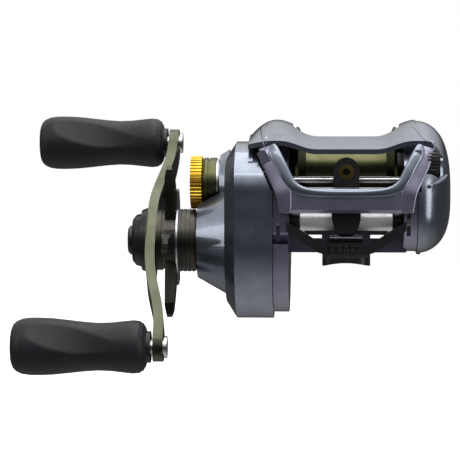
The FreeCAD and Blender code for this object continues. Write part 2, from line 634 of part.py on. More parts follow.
turned("drive_shaft", "drive", [
    ("-64.6", "0"), ("-64.6", "2.4"), ("-58.9", "2.4"), ("-58.9", "Sizes.drive_shaft_radius"),
    ("-24.0", "Sizes.drive_shaft_radius"), ("-24.0", "2.4"), ("-19.6", "2.4"), ("-19.6", "0"),
])
ring("drive_shaft_bearing", "drive", "-22.0", "-19.4", "2.4 + Sizes.running_clearance", "5.0")
washers = [rod(start, start + 0.5, 12.6, DRIVE_Y, DRIVE_Z).cut(rod(start - 1, start + 1, 4.7, DRIVE_Y,
                                                                   DRIVE_Z))
           for start in (-33.0, -29.5)]
shaped("drag_washers", Part.makeCompound(washers))
ring("pressure_plate", "drive", "-34.2", "-33.0", "4.2", "12.8")
ring("clutch_sleeve", "drive", "-45.0", "-29.0", "Sizes.drive_shaft_radius", "4.2")
ring("anti_reverse_bearing", "drive", "-45.3", "-38.4", "4.2 + Sizes.running_clearance", "7.6")


def ratchet_shape():
    """A toothed stop wheel with slanted teeth."""
    corners = []
    teeth = 10
    for tooth in range(teeth):
        for radius, share in ((7.4, 0.0), (9.2, 0.78), (7.4, 0.86)):
            angle = 2 * math.pi * (tooth + share) / teeth
            corners.append(Vector(-28.6, DRIVE_Y + radius * math.cos(angle),
                                  DRIVE_Z + radius * math.sin(angle)))
    wheel = Part.Face(Part.makePolygon(corners + corners[:1])).extrude(Vector(1.2, 0, 0))
    return wheel.cut(rod(-30, -20, size("drive_shaft_radius"), DRIVE_Y, DRIVE_Z))


shaped("ratchet", ratchet_shape())


def star_shape():
    """The star drag: a hub with five blades, one of them to the front, each thinner at its tip."""
    start, thickness, reach = size("star_start"), size("star_thickness"), size("star_radius")
    star = rod(-57.2, start + thickness + 0.05, 9.0, DRIVE_Y, DRIVE_Z)
    plan = prism([(start, -3.9, 6.0), (start, 3.9, 6.0), (start, 3.1, reach - 4), (start, 1.9, reach - 0.6),
                  (start, 0.4, reach), (start, -1.4, reach - 0.8), (start, -2.7, reach - 4.5)],
                 Vector(thickness, 0, 0))
    inner = start + thickness
    taper = prism([(start, -9, 5.0), (inner, -9, 5.0), (inner, -9, 14.0), (inner - 0.5, -9, reach - 2.5),
                   (inner - 1.2, -9, reach + 0.1), (start + 0.9, -9, reach + 0.1), (start + 0.2, -9, reach - 3)],
                  Vector(0, 18, 0))
    for step in range(5):
        blade = plan.common(taper)
        blade.rotate(Vector(0, 0, 0), X_AXIS, 72 * step + 90)
        blade.translate(Vector(0, DRIVE_Y, DRIVE_Z))
        star = star.fuse(blade)
    star = star.cut(rod(-70, -40, size("drive_shaft_radius") + 0.08, DRIVE_Y, DRIVE_Z))
    return star.removeSplitter()


shaped("star_drag", star_shape())
skirt = [("-52.1", "Sizes.drive_shaft_radius + 0.9")]
for groove in range(4):
    start = -52.1 + 1.36 * groove
    skirt += [(f"{start:.2f}", "Sizes.skirt_radius"), (f"{start + 0.95:.2f}", "Sizes.skirt_radius"),
              (f"{start + 1.0:.2f}", "Sizes.skirt_radius - 0.5"),
              (f"{start + 1.31:.2f}", "Sizes.skirt_radius - 0.5")]
skirt += [("-46.5", "Sizes.skirt_radius"), ("-46.5", "Sizes.drive_shaft_radius + 0.9")]
turned("star_skirt", "drive", skirt)
click = rod(-52.65, -52.15, 10.4, DRIVE_Y, DRIVE_Z)
for turn, reach in ((8, 16.0), (188, 13.0)):
    tab = block((-52.65, -2.2, 0), (-52.15, 2.2, reach))
    tab.rotate(Vector(0, 0, 0), X_AXIS, turn)
    tab.translate(Vector(0, DRIVE_Y, DRIVE_Z))
    click = click.fuse(tab)
shaped("click_plate", click.cut(rod(-60, -40, 4.1, DRIVE_Y, DRIVE_Z)).removeSplitter())
ring("arm_spacer", "drive", "-58.9", "-57.3", "Sizes.drive_shaft_radius", "9.4")


def handle_turned(shape):
    """Turn a shape drawn with the handle upright to the handle's rest angle."""
    turned_copy = shape.copy()
    turned_copy.rotate(Vector(0, DRIVE_Y, DRIVE_Z), X_AXIS, -size("handle_angle"))
    return turned_copy


def make_arm():
    """The double handle: a plate that sweeps towards the reel at both ends."""
    outer, thick, sweep, reach = (size(name) for name in ("arm_outer", "arm_thickness", "arm_sweep",
                                                          "arm_reach"))
    stations = [(0.0, 0.0), (8.0, 0.0), (14.0, 0.25), (24.0, 1.9), (34.0, 3.9), (41.0, sweep),
                (50.0, sweep)]
    def edge(offset):
        left = [Vector(outer + offset + shift, DRIVE_Y - 12, DRIVE_Z - along) for along,
                shift in stations[::-1]]
        right = [Vector(outer + offset + shift, DRIVE_Y - 12, DRIVE_Z + along) for along,
                 shift in stations[1:]]
        curve = Part.BSplineCurve()
        curve.interpolate(left + right)
        return curve.toShape()
    near, far = edge(0.0), edge(thick)
    ends = [Part.makeLine(near.Vertexes[index].Point, far.Vertexes[index].Point) for index in (0, 1)]
    strip = Part.Face(Part.Wire([near, ends[1], far, ends[0]])).extrude(Vector(0, 24, 0))
    half = []
    for along, width in ((0.0, 7.6), (6.0, 7.2), (16.0, 5.6), (30.0, 4.6), (40.0, 4.9), (45.0, 5.0)):
        half.append((along, width))
    outline = [(-70, DRIVE_Y + width, DRIVE_Z + along) for along, width in half]
    outline.append((-70, DRIVE_Y, DRIVE_Z + 49.6))
    outline += [(-70, DRIVE_Y - width, DRIVE_Z + along) for along, width in half[::-1]]
    outline += [(-70, DRIVE_Y - width, DRIVE_Z - along) for along, width in half[1:]]
    outline.append((-70, DRIVE_Y, DRIVE_Z - 49.6))
    outline += [(-70, DRIVE_Y + width, DRIVE_Z - along) for along, width in half[:0:-1]]
    arm = strip.common(Part.Face(smooth_loop(outline)).extrude(Vector(30, 0, 0)))
    for side in (-1, 1):
        arm = arm.cut(rod(-70, -50, size("knob_shaft_radius"), DRIVE_Y, DRIVE_Z + side * reach))
        for along, radius in ((19.5, 2.0), (27.0, 1.6)):
            arm = arm.cut(rod(-70, -50, radius, DRIVE_Y, DRIVE_Z + side * along))
    return arm.cut(rod(-70, -50, 2.4, DRIVE_Y, DRIVE_Z))


shaped("handle_arm", handle_turned(make_arm()))
nut_corners = [(-64.5, DRIVE_Y + 5.0 * math.cos(math.radians(60 * k)),
                DRIVE_Z + 5.0 * math.sin(math.radians(60 * k)))
               for k in range(6)]
nut = prism(nut_corners, Vector(2.4, 0, 0)).cut(rod(-70, -50, 2.4, DRIVE_Y, DRIVE_Z))
shaped("handle_nut", nut)
turned("nut_cover", "drive", [
    ("-66.6", "1.6"), ("-66.6", "6.6"), ("-65.6", "7.9"), ("-63.9", "8.4"), ("-63.7", "9.5"), ("-62.1",
                                                                                               "10.1"),
    ("-62.1", "6.4"), ("-65.0", "6.4"), ("-65.0", "1.6"),
])
turned("nut_cover_screw", "drive", [
    ("-68.1", "0"), ("-68.1", "3.7"), ("-67.5", "4.5"), ("-66.6", "4.5"), ("-66.6", "1.6"), ("-64.6",
                                                                                             "1.6"),
    ("-64.6", "0"),
])


def knob_profile():
    """The grip's outline along X from its outer end: full, waisted, then full again."""
    start, length = size("knob_start"), size("knob_length")
    full, waist, inner = (size(name) for name in ("knob_outer_radius", "knob_waist_radius",
                                                  "knob_inner_radius"))
    points = ((0.0, full - 3.2), (0.03, full - 1.3), (0.10, full - 0.25), (0.22, full),
              (0.42, full - 0.7),
              (0.62, waist), (0.78, waist + 0.35), (0.90, inner), (0.965, inner - 0.9), (1.0,
                                                                                         inner - 3.0))
    return [(start + share * length, radius) for share, radius in points]


def make_knob_pieces(letter, side):
    """One knob's grip, flange, shaft and bearings, drawn upright and turned with the handle."""
    up = DRIVE_Z + side * size("arm_reach")
    outline = [Vector(x, DRIVE_Y, up + radius) for x, radius in knob_profile()]
    curve = Part.BSplineCurve()
    curve.interpolate(outline)
    low, high = outline[0], outline[-1]
    axis_low, axis_high = Vector(low.x, DRIVE_Y, up), Vector(high.x, DRIVE_Y, up)
    wire = Part.Wire([curve.toShape(), Part.makeLine(high, axis_high), Part.makeLine(axis_high, axis_low),
                      Part.makeLine(axis_low, low)])
    grip = Part.Face(wire).revolve(axis_low, X_AXIS, 360)
    grip = grip.cut(rod(low.x + 2.5, high.x + 1, 4.0, DRIVE_Y, up))
    shaft = rod(low.x + 4.0, -54.2, size("knob_shaft_radius"), DRIVE_Y, up)
    shaft = shaft.fuse(rod(-54.2, -53.4, 3.3, DRIVE_Y, up))
    bore = size("knob_shaft_radius") + size("running_clearance")
    bearings = []
    for start in (low.x + 4.6, high.x - 4.6):
        bearings.append(rod(start, start + 3.0, 4.0, DRIVE_Y,
                            up).cut(rod(start - 1, start + 4, bore, DRIVE_Y, up)))
    flange = rod(high.x, high.x + 1.3, 4.75, DRIVE_Y, up).cut(rod(high.x - 1, high.x + 2, bore + 0.1,
                                                                  DRIVE_Y, up))
    shaped(f"knob_{letter}_grip", handle_turned(grip))
    shaped(f"knob_{letter}_shaft", handle_turned(shaft))
    shaped(f"knob_{letter}_bearings", handle_turned(Part.makeCompound(bearings)))
    shaped(f"knob_{letter}_flange", handle_turned(flange))


make_knob_pieces("upper", 1)
make_knob_pieces("lower", -1)


# ---------------------------------------------------------------- cast control

turned("cast_control_cap", "spool", [
    ("-48.4", "0"), ("-48.4", "5.8"), ("-47.6", "6.9"), ("-46.4", "6.9"), ("-45.0", "6.9"), ("-45.0",
                                                                                             "7.4"),
    ("-44.0", "Sizes.cast_collar_radius"), ("-43.2", "Sizes.cast_collar_radius"), ("-43.1", "7.4"),
    ("-42.7", "7.4"), ("-42.6", "Sizes.cast_collar_radius"), ("-40.6", "Sizes.cast_collar_radius"),
    ("-40.6", "Sizes.cast_boss_radius + Sizes.running_clearance"),
    ("-46.0", "Sizes.cast_boss_radius + Sizes.running_clearance"), ("-46.0", "0"),
])


def knurled_ring(start, end, inner, outer, teeth, depth, back, up):
    """A ring whose rim carries straight knurls."""
    corners = []
    for tooth in range(teeth):
        for share, radius in ((0.0, outer - depth), (0.22, outer), (0.62, outer), (0.84, outer - depth)):
            angle = 2 * math.pi * (tooth + share) / teeth
            corners.append(Vector(start, back + radius * math.cos(angle), up + radius * math.sin(angle)))
    rim = Part.Face(Part.makePolygon(corners + corners[:1])).extrude(Vector(end - start, 0, 0))
    return rim.cut(rod(start - 1, end + 1, inner, back, up))


shaped("cast_control_ring", knurled_ring(-48.6, -45.05, 6.95, size("cast_ring_radius"), 44, 0.28,
                                         SPOOL_Y, SPOOL_Z))
ring("cast_control_seal", "spool", "-40.4", "-39.9", "Sizes.cast_boss_radius + 0.2", "7.5")
ring("tension_spacer", "spool", "-46.0", "-38.7", "0", "1.2")


# ---------------------------------------------------------------- level wind

TUBE_START, TUBE_END = -22.0, 19.8
tube = rod(TUBE_START, TUBE_END, size("worm_tube_radius"), WORM_Y, WORM_Z)
tube = tube.cut(rod(TUBE_START - 1, TUBE_END + 1, 2.5, WORM_Y, WORM_Z))
tube = tube.cut(block((-12.6, WORM_Y - 1.6, WORM_Z - 5), (12.6, WORM_Y + 1.6, WORM_Z)))
shaped("worm_tube", tube)


def worm_shape():
    """The level-wind screw: a shaft with crossed ring-like grooves cut by a two-way thread."""
    worm = rod(-24.2, 19.4, 1.3, WORM_Y, WORM_Z).fuse(rod(-15.5, 15.5, size("worm_radius"), WORM_Y,
                                                          WORM_Z))
    worm = worm.fuse(rod(-26.9, -24.2, 1.3, WORM_Y, WORM_Z))
    for step in range(10):
        for lean in (-24, 24):
            groove = rod(-0.45, 0.45, 4.0, 0, 0).cut(rod(-1, 1, size("worm_radius") - 0.45, 0, 0))
            groove.rotate(Vector(0, 0, 0), Z_AXIS, lean)
            groove.translate(Vector(-12.6 + 2.8 * step, WORM_Y, WORM_Z))
            worm = worm.cut(groove)
    return worm.removeSplitter()


shaped("worm_shaft", worm_shape())
shaped("guide_rail", rod(-20.5, 20.5, 1.0, RAIL_Y, RAIL_Z))


def make_line_guide():
    """The carriage that leads the line: an arch with a round eye, riding on the rail and the tube."""
    eye = size("guide_ring_up")
    arch = [(-2.9, GUIDE_BOTTOM), (2.9, GUIDE_BOTTOM), (3.6, GUIDE_BOTTOM + 1.6),
            (4.2, GUIDE_BOTTOM + 4.0), (4.5, 18.0), (4.3, 19.2), (3.9, 20.5), (3.9, eye + 0.5)]
    for step in range(1, 12):
        turn = math.pi * step / 12
        arch.append((3.9 * math.cos(turn), eye + 0.5 + 3.9 * math.sin(turn)))
    arch += [(-3.9, eye + 0.5), (-3.9, 20.5), (-4.3, 19.2), (-4.5, 18.0),
             (-4.2, GUIDE_BOTTOM + 4.0), (-3.6, GUIDE_BOTTOM + 1.6)]
    body = prism([(across, -21.6, up) for across, up in arch], Vector(0, 7.4, 0))
    body = body.cut(block((-5, -17.6, eye - 1.2), (5, -10, 60)))
    body = body.cut(rod(-9, 9, size("worm_tube_radius") + 0.08, WORM_Y, WORM_Z))
    body = body.cut(rod(-9, 9, 1.08, RAIL_Y, RAIL_Z))
    body = body.cut(Part.makeCylinder(size("guide_ring_radius"), 12, Vector(0, -25, eye), Y_AXIS))
    body = body.cut(Part.makeCylinder(2.36, 8, Vector(0, WORM_Y, 5.0), Z_AXIS))
    return body.removeSplitter()


shaped("line_guide", make_line_guide())
eye_ring = Part.makeCylinder(size("guide_ring_radius"), 2.3, Vector(0, -21.75, size("guide_ring_up")),
                             Y_AXIS)
eye_hole = Part.makeCylinder(size("guide_hole_radius"), 12, Vector(0, -25, size("guide_ring_up")), Y_AXIS)
shaped("line_guide_ring", eye_ring.cut(eye_hole))
pawl = Part.makeCylinder(1.3, 1.6, Vector(0, WORM_Y, GUIDE_BOTTOM + 0.4), Z_AXIS)
pawl = pawl.fuse(Part.makeCylinder(2.2, 0.5, Vector(0, WORM_Y, GUIDE_BOTTOM + 0.1), Z_AXIS))
pawl = pawl.cut(rod(-5, 5, size("worm_radius") + 0.1, WORM_Y, WORM_Z))
shaped("pawl", pawl)
pawl_cap = Part.makeCone(1.9, 2.8, 0.9, Vector(0, WORM_Y, GUIDE_BOTTOM - 0.9), Z_AXIS)
pawl_cap = pawl_cap.cut(block((-3, WORM_Y - 0.35, 0), (3, WORM_Y + 0.35, GUIDE_BOTTOM - 0.5)))
shaped("pawl_cap", pawl_cap)


# ---------------------------------------------------------------- clutch

POST_REACH = 8.2


def make_yoke():
    """The fork that slides the pinion off the spool pin, with an ear for each post."""
    fork = block((-26.4, SPOOL_Y - POST_REACH - 1.8, SPOOL_Z - 0.2),
                 (-25.6, SPOOL_Y + POST_REACH + 1.8, SPOOL_Z + 5.2))
    fork = fork.cut(rod(-27, -25, 2.0, SPOOL_Y, SPOOL_Z))
    for side in (-1, 1):
        fork = fork.cut(rod(-27, -25, 1.08, SPOOL_Y + side * POST_REACH, SPOOL_Z + 2.4))
    return fork


shaped("pinion_yoke", make_yoke())
posts, springs = [], []
for side in (-1, 1):
    back = SPOOL_Y + side * POST_REACH
    post = rod(-32.6, -22.25, 1.0, back, SPOOL_Z + 2.4)
    posts.append(post.fuse(rod(-33.2, -32.6, 1.9, back, SPOOL_Z + 2.4)))
    helix = Part.makeHelix(1.5, 5.8, 1.5)
    helix.rotate(Vector(0, 0, 0), Y_AXIS, 90)
    helix.translate(Vector(-32.4, back, SPOOL_Z + 2.4))
    start_point = helix.Vertexes[0].Point
    along_wire = Vector(0.16, 1, 0).normalize()
    half_wire = along_wire.cross(Z_AXIS) * 0.2
    half_rise = Z_AXIS * 0.2
    corners = [start_point + half_wire + half_rise, start_point + half_wire - half_rise,
               start_point - half_wire - half_rise, start_point - half_wire + half_rise]
    section = Part.makePolygon(corners + corners[:1])
    springs.append(Part.Wire(helix).makePipeShell([section], True, True))
shaped("yoke_posts", Part.makeCompound(posts))
shaped("yoke_springs", Part.makeCompound(springs))


def make_cam():
    """The clutch cam: a ring around the pinion bearing with two ramps and a tail to the thumb bar."""
    cam = rod(-24.0, -22.7, 6.9, SPOOL_Y, SPOOL_Z).cut(rod(-25, -20, 5.3, SPOOL_Y, SPOOL_Z))
    tail = prism([(-24.0, 6.0, -2.2), (-24.0, 16.0, -1.4), (-24.0, 16.0, 1.4), (-24.0, 6.0, 2.2)],
                 Vector(1.3, 0, 0))
    tail.rotate(Vector(0, 0, 0), X_AXIS, -40)
    tail.translate(Vector(0, SPOOL_Y, SPOOL_Z))
    return cam.fuse(tail).removeSplitter()


shaped("clutch_cam", make_cam())


def make_thumb_bar():
    """The thumb bar: a curved pad between the side walls behind the spool."""
    outline = [(-15.4, 24.4, 30.5), (-15.4, 24.2, 35.4), (-15.4, 25.6, 37.6), (-15.4, 28.4, 36.8),
               (-15.4, 31.2, 33.6), (-15.4, 31.6, 30.5), (-15.4, 29.6, 28.8), (-15.4, 26.2, 28.8)]
    bar = Part.Face(smooth_loop(outline)).extrude(Vector(30.8, 0, 0))
    thumb_hollow = Part.makeCylinder(60, 40, Vector(0, 10, 96.2), Y_AXIS)
    bar = bar.cut(thumb_hollow)
    for step in range(5):
        up = 31.0 + 1.15 * step
        bar = bar.cut(block((-9.5, 23.0, up), (9.5, 24.65, up + 0.45)))
    return bar


shaped("thumb_bar", make_thumb_bar())


# ---------------------------------------------------------------- palm-side controls and fasteners

dial = knurled_ring(24.2, 27.3, 1.2, DIAL_RADIUS, 26, 0.3, DIAL_Y, DIAL_Z)
dial = dial.fuse(Part.makeCone(DIAL_RADIUS - 0.4, DIAL_RADIUS - 1.6, 1.3, Vector(27.3, DIAL_Y, DIAL_Z),
                               X_AXIS))
dial = dial.cut(rod(26.4, 30, 3.4, DIAL_Y, DIAL_Z)).cut(rod(20, 30, 1.2, DIAL_Y, DIAL_Z))
shaped("brake_dial", dial.removeSplitter())
latch = block((21.8, -5.6, 3.9), (22.9, 1.6, 5.2)).fuse(rod(21.8, 22.9, 0.9, -4.6, 4.9))
shaped("side_plate_latch", latch.removeSplitter())


def screw(x_head, x_tip, back, up, head_radius=1.7, shank_radius=0.8):
    """A pan-head screw along X with a cross slot, its head at x_head."""
    direction = 1 if x_tip > x_head else -1
    head_end = x_head + direction * 1.0
    head = rod(min(x_head, head_end), max(x_head, head_end), head_radius, back, up)
    shank = rod(min(head_end, x_tip), max(head_end, x_tip), shank_radius, back, up)
    slot = block((min(x_head, x_head + direction * 0.5), back - head_radius, up - 0.22),
                 (max(x_head, x_head + direction * 0.5), back + head_radius, up + 0.22))
    return head.fuse(shank).cut(slot)


foot_screws = []
for across, back in [(x, FOOT_SCREW_Y) for x in FOOT_SCREW_X] + [(0, FOOT_REAR_SCREW_Y)]:
    head = Part.makeCylinder(2.0, 1.0, Vector(across, back, 3.8), Z_AXIS)
    shank = Part.makeCylinder(0.95, 3.0, Vector(across, back, 4.8), Z_AXIS)
    slot = block((across - 1.9, back - 0.25, 3.5), (across + 1.9, back + 0.25, 4.3))
    foot_screws.append(head.fuse(shank).cut(slot))
shaped("foot_screws", Part.makeCompound(foot_screws))
gear_screws = [screw(-35.0, -19.6, back, up) for back, up in GEAR_SCREWS]
shaped("gear_plate_screws", Part.makeCompound(gear_screws))


# ---------------------------------------------------------------- check and write

doc.recompute()
faults = []
for item in doc.Objects:
    if "Invalid" in item.State or "Error" in item.State:
        faults.append(f"{item.Label} did not compute")
for piece in pieces:
    if piece.Shape.isNull() or not piece.Shape.isValid() or not piece.Shape.Solids:
        faults.append(f"{piece.Label} has no valid solid")
if faults:
    raise RuntimeError("; ".join(faults))

os.makedirs("parts", exist_ok=True)
for piece in pieces:
    piece.Shape.exportStep(f"parts/{piece.Label}.step")
print(len(pieces), "pieces written")
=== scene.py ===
"""Looks for the baitcasting reel: procedural materials, sculpted grips, camera and studio.

Everything is in metres, in the CAD model's frame: +X along the spool, -Y to the front, +Z up.
"""
import json
import math

import bmesh
import bpy
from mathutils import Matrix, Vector


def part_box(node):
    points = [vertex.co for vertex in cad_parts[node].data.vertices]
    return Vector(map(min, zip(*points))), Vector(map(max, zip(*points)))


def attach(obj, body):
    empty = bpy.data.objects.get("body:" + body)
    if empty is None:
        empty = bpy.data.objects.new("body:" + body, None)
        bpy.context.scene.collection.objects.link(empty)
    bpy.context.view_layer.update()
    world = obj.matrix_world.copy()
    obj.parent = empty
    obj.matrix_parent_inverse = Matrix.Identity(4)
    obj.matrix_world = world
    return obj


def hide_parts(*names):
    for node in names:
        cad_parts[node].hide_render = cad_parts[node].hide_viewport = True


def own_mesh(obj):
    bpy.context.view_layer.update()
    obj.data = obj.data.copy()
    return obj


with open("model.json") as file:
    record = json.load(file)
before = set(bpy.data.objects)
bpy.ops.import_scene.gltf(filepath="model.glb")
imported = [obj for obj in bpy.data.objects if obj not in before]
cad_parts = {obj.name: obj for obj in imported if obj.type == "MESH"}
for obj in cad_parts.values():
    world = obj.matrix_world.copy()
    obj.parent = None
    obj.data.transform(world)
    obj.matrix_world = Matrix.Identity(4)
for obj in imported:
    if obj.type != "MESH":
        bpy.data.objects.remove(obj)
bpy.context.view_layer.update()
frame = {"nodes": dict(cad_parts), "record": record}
MM = 0.001


# ---------------------------------------------------------------- material helpers

class Paint:
    """A principled material with short calls for the nodes used here."""

    def __init__(self, name, **sockets):
        self.material = bpy.data.materials.new(name)
        self.material.use_nodes = True
        self.tree = self.material.node_tree
        self.shader = self.tree.nodes["Principled BSDF"]
        self.coords = self.add("ShaderNodeTexCoord").outputs["Object"]
        for key, value in sockets.items():
            self.shader.inputs[key.replace("_", " ")].default_value = value

    def add(self, kind, **settings):
        node = self.tree.nodes.new(kind)
        for key, value in settings.items():
            setattr(node, key, value)
        return node

    def link(self, source, target):
        self.tree.links.new(source, target)

    def stretched(self, scale):
        """Object coordinates scaled unevenly, for marks that run one way."""
        mapping = self.add("ShaderNodeMapping")
        mapping.inputs["Scale"].default_value = scale
        self.link(self.coords, mapping.inputs["Vector"])
        return mapping.outputs["Vector"]

    def noise(self, scale, detail=2.0, rough=0.5, vector=None):
        node = self.add("ShaderNodeTexNoise")
        node.inputs["Scale"].default_value = scale
        node.inputs["Detail"].default_value = detail
        node.inputs["Roughness"].default_value = rough
        self.link(vector or self.coords, node.inputs["Vector"])
        return node.outputs["Fac"]

    def cells(self, scale):
        node = self.add("ShaderNodeTexVoronoi")
        node.inputs["Scale"].default_value = scale
        self.link(self.coords, node.inputs["Vector"])
        return node

    def ramp(self, value, stops):
        node = self.add("ShaderNodeValToRGB")
        ramp = node.color_ramp
        while len(ramp.elements) < len(stops):
            ramp.elements.new(0.5)
        for element, (place, colour) in zip(ramp.elements, stops):
            element.position = place
            element.color = (*colour, 1.0)
        self.link(value, node.inputs["Fac"])
        return node.outputs["Color"]

    def span(self, value, low, high):
        """A 0-to-1 value mapped to a range."""
        node = self.add("ShaderNodeMapRange")
        node.inputs["To Min"].default_value = low
        node.inputs["To Max"].default_value = high
        self.link(value, node.inputs["Value"])
        return node.outputs["Result"]

    def mix(self, factor, first, second):
        node = self.add("ShaderNodeMix", data_type="RGBA")
        self.link(factor, node.inputs["Factor"])
        for socket, value in ((node.inputs[6], first), (node.inputs[7], second)):
            if isinstance(value, tuple):
                socket.default_value = (*value, 1.0)
            else:
                self.link(value, socket)
        return node.outputs[2]

    def bump(self, height, strength, distance, base=None):
        node = self.add("ShaderNodeBump")
        node.inputs["Strength"].default_value = strength
        node.inputs["Distance"].default_value = distance
        self.link(height, node.inputs["Height"])
        if base:
            self.link(base, node.inputs["Normal"])
        return node.outputs["Normal"]

    def colour(self, source):
        self.link(source, self.shader.inputs["Base Color"])

    def roughness(self, source):
        self.link(source, self.shader.inputs["Roughness"])

    def normal(self, source):
        self.link(source, self.shader.inputs["Normal"])


def pearl_paint(name, deep, light, metallic):
    """Metallic paint: two sizes of flake over a dark ground, under a clear coat."""
    paint = Paint(name, Metallic=metallic, Coat_Weight=0.9, Coat_Roughness=0.04, Coat_IOR=1.55)
    flakes = paint.cells(6500)
    drift = paint.noise(160, 4.0)
    middle_tone = tuple((low + high) / 2 for low, high in zip(deep, light))
    fleck = paint.ramp(flakes.outputs["Distance"], ((0.0, light), (0.42, middle_tone), (0.8, deep)))
    ground = paint.ramp(drift, ((0.3, deep), (0.75, middle_tone)))
    paint.colour(paint.mix(paint.span(paint.noise(2400, 2.0), 0.30, 0.75), ground, fleck))
    paint.roughness(paint.span(paint.noise(700, 3.0), 0.24, 0.36))
    sparkle = paint.bump(flakes.outputs["Distance"], 0.07, 0.00003)
    paint.normal(paint.bump(paint.noise(1500, 2.0), 0.05, 0.00004, sparkle))
    return paint.material


def moulded_plastic(name, tone, roughness, grain=2600, depth=0.12):
    """Fine-grained black plastic with slightly uneven gloss."""
    low = tuple(0.75 * part for part in tone)
    paint = Paint(name, Specular_IOR_Level=0.32)
    paint.colour(paint.ramp(paint.noise(140, 5.0), ((0.3, low), (0.75, tone))))
    paint.roughness(paint.span(paint.noise(500, 4.0), roughness - 0.07, roughness + 0.09))
    paint.normal(paint.bump(paint.noise(grain, 3.0, 0.7), depth, 0.00006))
    return paint.material


def grip_rubber():
    """Matte moulded grip: a very fine pebble, dulled by handling."""
    paint = Paint("grip_rubber", Specular_IOR_Level=0.24, Sheen_Weight=0.04, Sheen_Roughness=0.45)
    tones = ((0.25, (0.008, 0.008, 0.010)), (0.8, (0.017, 0.017, 0.021)))
    paint.colour(paint.ramp(paint.noise(90, 6.0), tones))
    paint.roughness(paint.span(paint.noise(260, 5.0), 0.38, 0.56))
    pores = paint.cells(5200)
    fine = paint.bump(paint.noise(6500, 2.0), 0.12, 0.00004)
    paint.normal(paint.bump(pores.outputs["Distance"], 0.16, 0.00005, fine))
    return paint.material


def turned_metal(name, dark, light, roughness, lines=9000, depth=0.10, metallic=1.0, coat=0.0):
    """Metal turned on a lathe along X: thin rings, with a satin unevenness."""
    paint = Paint(name, Metallic=metallic, Coat_Weight=coat, Coat_Roughness=0.12)
    rings = paint.noise(1.0, 3.0, 0.6, paint.stretched((lines, 60, 60)))
    cloud = paint.noise(180, 4.0)
    paint.colour(paint.ramp(cloud, ((0.3, dark), (0.75, light))))
    paint.roughness(paint.span(rings, roughness - 0.06, roughness + 0.10))
    paint.normal(paint.bump(rings, depth, 0.00003))
    return paint.material


def blasted_metal(name, dark, light, roughness, metallic=1.0, coat=0.0):
    """Bead-blasted and anodised metal: a fine even grain with no direction."""
    paint = Paint(name, Metallic=metallic, Coat_Weight=coat, Coat_Roughness=0.15)
    grain = paint.noise(5200, 3.0, 0.65)
    paint.colour(paint.ramp(paint.noise(120, 5.0), ((0.3, dark), (0.75, light))))
    paint.roughness(paint.span(grain, roughness - 0.05, roughness + 0.10))
    paint.normal(paint.bump(grain, 0.10, 0.00004))
    return paint.material


def carbon_weave():
    """Drag washers: a crossed weave of dark fibres."""
    paint = Paint("carbon_weave", Coat_Weight=0.4)
    checker = paint.add("ShaderNodeTexChecker")
    checker.inputs["Scale"].default_value = 1400
    paint.link(paint.coords, checker.inputs["Vector"])
    fibre = paint.noise(1.0, 2.0, 0.5, paint.stretched((800, 9000, 800)))
    tone = paint.ramp(fibre, ((0.2, (0.012, 0.012, 0.012)), (0.8, (0.07, 0.07, 0.07))))
    paint.colour(paint.mix(checker.outputs["Fac"], (0.03, 0.03, 0.032), tone))
    paint.roughness(paint.span(fibre, 0.3, 0.5))
    return paint.material


body_pearl = pearl_paint("body_pearl", (0.100, 0.116, 0.150), (0.32, 0.37, 0.44), 0.88)
# The hood's paint is body_pearl at a darker tone. The darker tone is painted shade, standing in for the shade
# that falls on the hood's tilted humps.
shaded_hood_pearl = pearl_paint("shaded_hood_pearl", (0.070, 0.082, 0.108), (0.24, 0.28, 0.34), 0.88)
frame_pearl = pearl_paint("frame_pearl", (0.120, 0.118, 0.170), (0.34, 0.33, 0.46), 0.66)
black_satin = moulded_plastic("black_satin", (0.013, 0.012, 0.014), 0.36)
black_gloss = moulded_plastic("black_gloss", (0.014, 0.014, 0.016), 0.22, 1800, 0.05)
bronze = turned_metal("bronze_turned", (0.060, 0.062, 0.028), (0.105, 0.105, 0.052), 0.32, 5200, 0.04)
bronze_flat = blasted_metal("bronze_blasted", (0.055, 0.057, 0.038), (0.098, 0.100, 0.068), 0.27)
bronze_dark = blasted_metal("bronze_dark", (0.030, 0.029, 0.024), (0.075, 0.072, 0.060), 0.34)
gold = turned_metal("gold_anodised", (0.46, 0.26, 0.018), (0.78, 0.50, 0.06), 0.28, 9000, 0.05)
dark_gold = turned_metal("dark_gold", (0.17, 0.11, 0.03), (0.34, 0.24, 0.08), 0.30, 9000, 0.05)
steel = turned_metal("steel_turned", (0.50, 0.50, 0.52), (0.74, 0.74, 0.76), 0.22)
satin_tube = turned_metal("satin_tube", (0.80, 0.80, 0.80), (0.93, 0.93, 0.94), 0.46, 3500, 0.05, 0.6)
brass = turned_metal("brass_cut", (0.52, 0.38, 0.13), (0.78, 0.60, 0.26), 0.28)
aluminium = blasted_metal("aluminium_blasted", (0.55, 0.56, 0.58), (0.72, 0.73, 0.75), 0.36)
nylon = moulded_plastic("white_nylon", (0.80, 0.79, 0.74), 0.42)
rubber = grip_rubber()
carbon = carbon_weave()

SLOT_LOOK = {
    "body_pearl": body_pearl, "frame_metal": frame_pearl, "black_plastic": black_satin,
    "grip_rubber": rubber, "bronze_anodised": bronze, "gold_anodised": gold, "brass": brass,
    "steel": steel, "white_metal": satin_tube, "white_nylon": nylon, "carbon_fibre": carbon,
    "aluminium": aluminium,
}
NODE_LOOK = {
    "handle_arm": bronze_flat, "star_drag": bronze_dark, "star_skirt": bronze_dark,
    "arm_spacer": bronze_dark, "nut_cover": black_gloss, "nut_cover_screw": black_gloss,
    "top_cover": shaded_hood_pearl, "reel_foot": black_satin,
    "guide_rail": steel, "line_guide_ring": dark_gold,
}

for part in frame["record"]["subparts"]:
    look = NODE_LOOK.get(part["node"], SLOT_LOOK[part["material_slot"]])
    node = frame["nodes"][part["node"]]
    for place in node.material_slots:
        place.material = look


# ---------------------------------------------------------------- softened edges on CAD parts

